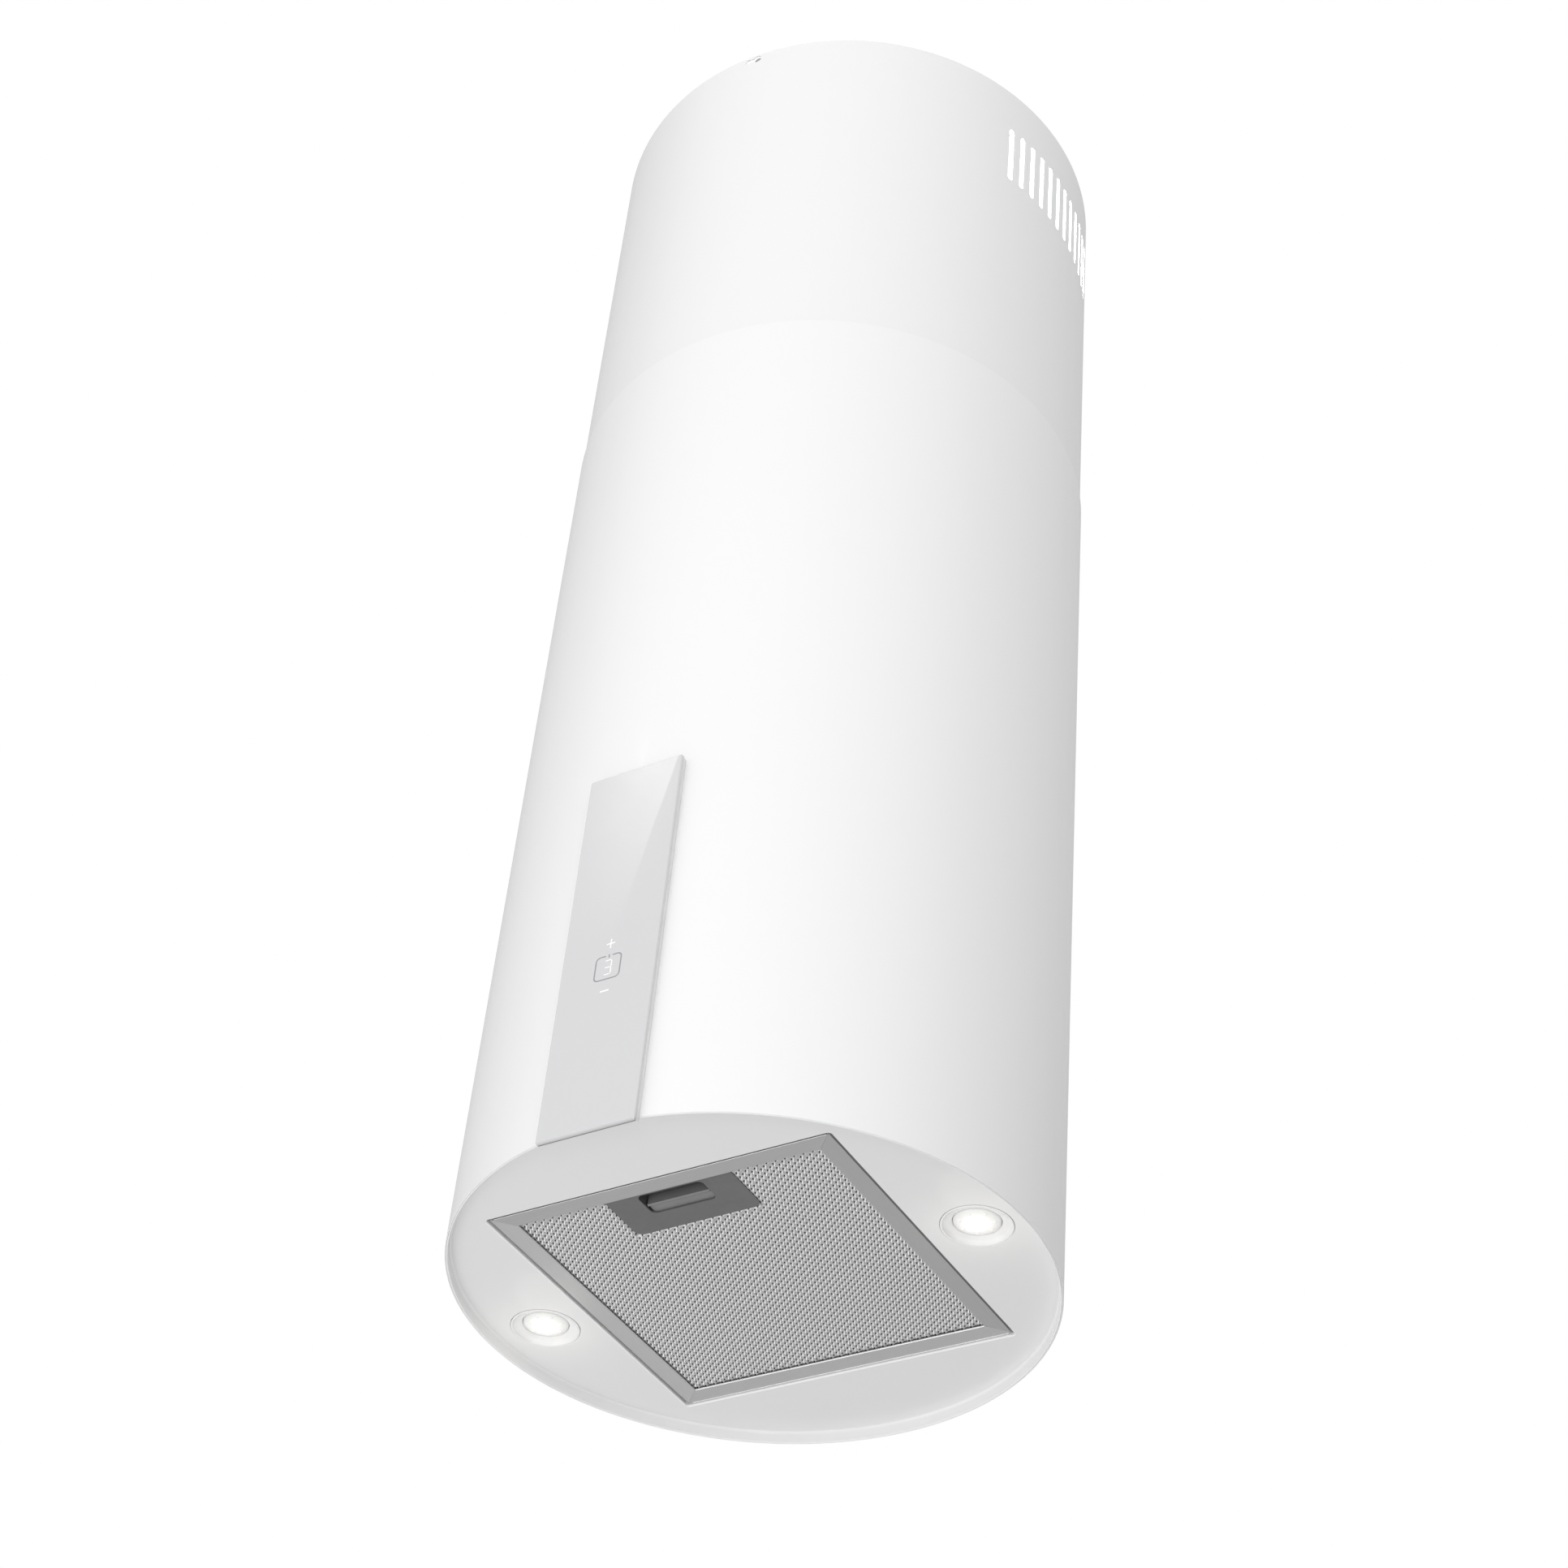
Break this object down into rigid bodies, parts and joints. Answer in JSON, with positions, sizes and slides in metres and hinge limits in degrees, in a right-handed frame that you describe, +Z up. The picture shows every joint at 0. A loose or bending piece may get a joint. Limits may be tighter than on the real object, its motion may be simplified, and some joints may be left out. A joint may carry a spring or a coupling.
{
  "type": "island range hood",
  "caption": "Tall white cylinder that hangs from the ceiling over a cooker: telescopic double sleeve, touch panel, round lamps and a drop-down square grease filter.",
  "frame": {"origin": "centre of the ceiling face, where the bracket meets the ceiling", "axes": "+Z up, -Y the front with the control panel, +X to the right of the panel"},
  "size_m": [0.39, 0.3933, 1.05],
  "materials": {
    "white_paint": "smooth white powder coat, soft gloss",
    "galvanised_steel": "bright galvanised sheet, light spangle",
    "bright_steel": "zinc plated steel",
    "white_plastic": "moulded, fine matt",
    "black_plastic": "moulded, fine texture",
    "grey_plastic": "moulded dark grey, satin",
    "motor_enamel": "dark enamel",
    "white_glass": "white back-painted glass, polished, bevelled edge",
    "circuit_board": "green solder mask",
    "lamp_dish": "white glossy reflector",
    "lamp_light": "frosted light-emitting lens",
    "heat_sink": "cast, matt",
    "filter_aluminium": "satin rolled strip",
    "filter_mesh": "expanded mesh, bright"
  },
  "bodies": {
    "ceiling_frame": {"ceiling_bracket": "galvanised_steel", "sleeve_screw_front": "bright_steel", "sleeve_screw_rear": "bright_steel", "upper_frame_brace": "galvanised_steel", "air_diverter": "white_plastic", "upper_upright_front_left": "galvanised_steel", "upper_upright_front_right": "galvanised_steel", "upper_upright_rear_right": "galvanised_steel", "upper_upright_rear_left": "galvanised_steel"},
    "lower_hood": {"lower_sleeve": "white_paint", "bottom_plate": "white_paint", "lower_frame_brace": "galvanised_steel", "blower_box": "galvanised_steel", "motor_bracket": "galvanised_steel", "lower_upright_front_left": "galvanised_steel", "lower_upright_front_right": "galvanised_steel", "lower_upright_rear_right": "galvanised_steel", "lower_upright_rear_left": "galvanised_steel", "flap_pin": "bright_steel", "height_bolt_front_left": "bright_steel", "height_bolt_front_right": "bright_steel", "height_bolt_rear_right": "bright_steel", "height_bolt_rear_left": "bright_steel", "panel_carrier": "white_plastic", "motor_capacitor": "white_plastic", "lamp_driver": "white_plastic", "terminal_block": "white_plastic", "blower_housing_left": "black_plastic", "blower_housing_right": "black_plastic", "outlet_collar": "black_plastic", "electronics_box": "black_plastic", "electronics_lid": "black_plastic", "cable_gland": "black_plastic", "digit_display": "black_plastic", "motor": "motor_enamel", "control_glass": "white_glass", "touch_board": "circuit_board", "lamp_reflector_left": "lamp_dish", "lamp_reflector_right": "lamp_dish", "lamp_lens_left": "lamp_light", "lamp_lens_right": "lamp_light", "lamp_housing_left": "heat_sink", "lamp_housing_right": "heat_sink"},
    "upper_tube": {"upper_sleeve": "white_paint"},
    "filter": {"filter_frame": "filter_aluminium", "filter_mesh_lower": "filter_mesh", "filter_mesh_core": "filter_mesh", "filter_mesh_upper": "filter_mesh", "filter_handle": "grey_plastic", "latch_spring_left": "bright_steel", "latch_spring_right": "bright_steel", "filter_hook_left": "bright_steel", "filter_hook_right": "bright_steel"},
    "latch": {"filter_latch": "grey_plastic"},
    "impeller_rotor": {"impeller": "grey_plastic", "motor_shaft": "bright_steel"},
    "front_flap": {"flap_front": "black_plastic"},
    "rear_flap": {"flap_rear": "black_plastic"}
  },
  "joints": [
    {"name": "height_adjust", "type": "slide", "parent": "ceiling_frame", "child": "lower_hood", "axis": [0, 0, 1], "range_m": [0, 0.225]},
    {"name": "upper_sleeve_drop", "type": "slide", "parent": "ceiling_frame", "child": "upper_tube", "axis": [0, 0, -1], "range_m": [0, 0.12]},
    {"name": "filter_swing", "type": "hinge", "parent": "lower_hood", "child": "filter", "pos_m": [0, 0.12195, -1.034], "axis": [1, 0, 0], "range_deg": [0, 80]},
    {"name": "latch_slide", "type": "slide", "parent": "filter", "child": "latch", "axis": [0, 1, 0], "range_m": [0, 0.005], "stiffness_N_per_m": 400, "springref_m": -0.004, "deforming": ["latch_spring_left", "latch_spring_right"]},
    {"name": "impeller_spin", "type": "hinge", "parent": "lower_hood", "child": "impeller_rotor", "pos_m": [0, -0.012, -0.895], "axis": [1, 0, 0], "continuous": true},
    {"name": "front_flap_hinge", "type": "hinge", "parent": "lower_hood", "child": "front_flap", "pos_m": [0, 0.062, -0.721], "axis": [-1, 0, 0], "range_deg": [0, 80]},
    {"name": "rear_flap_hinge", "type": "hinge", "parent": "lower_hood", "child": "rear_flap", "pos_m": [0, 0.062, -0.721], "axis": [1, 0, 0], "range_deg": [0, 80]}
  ]
}
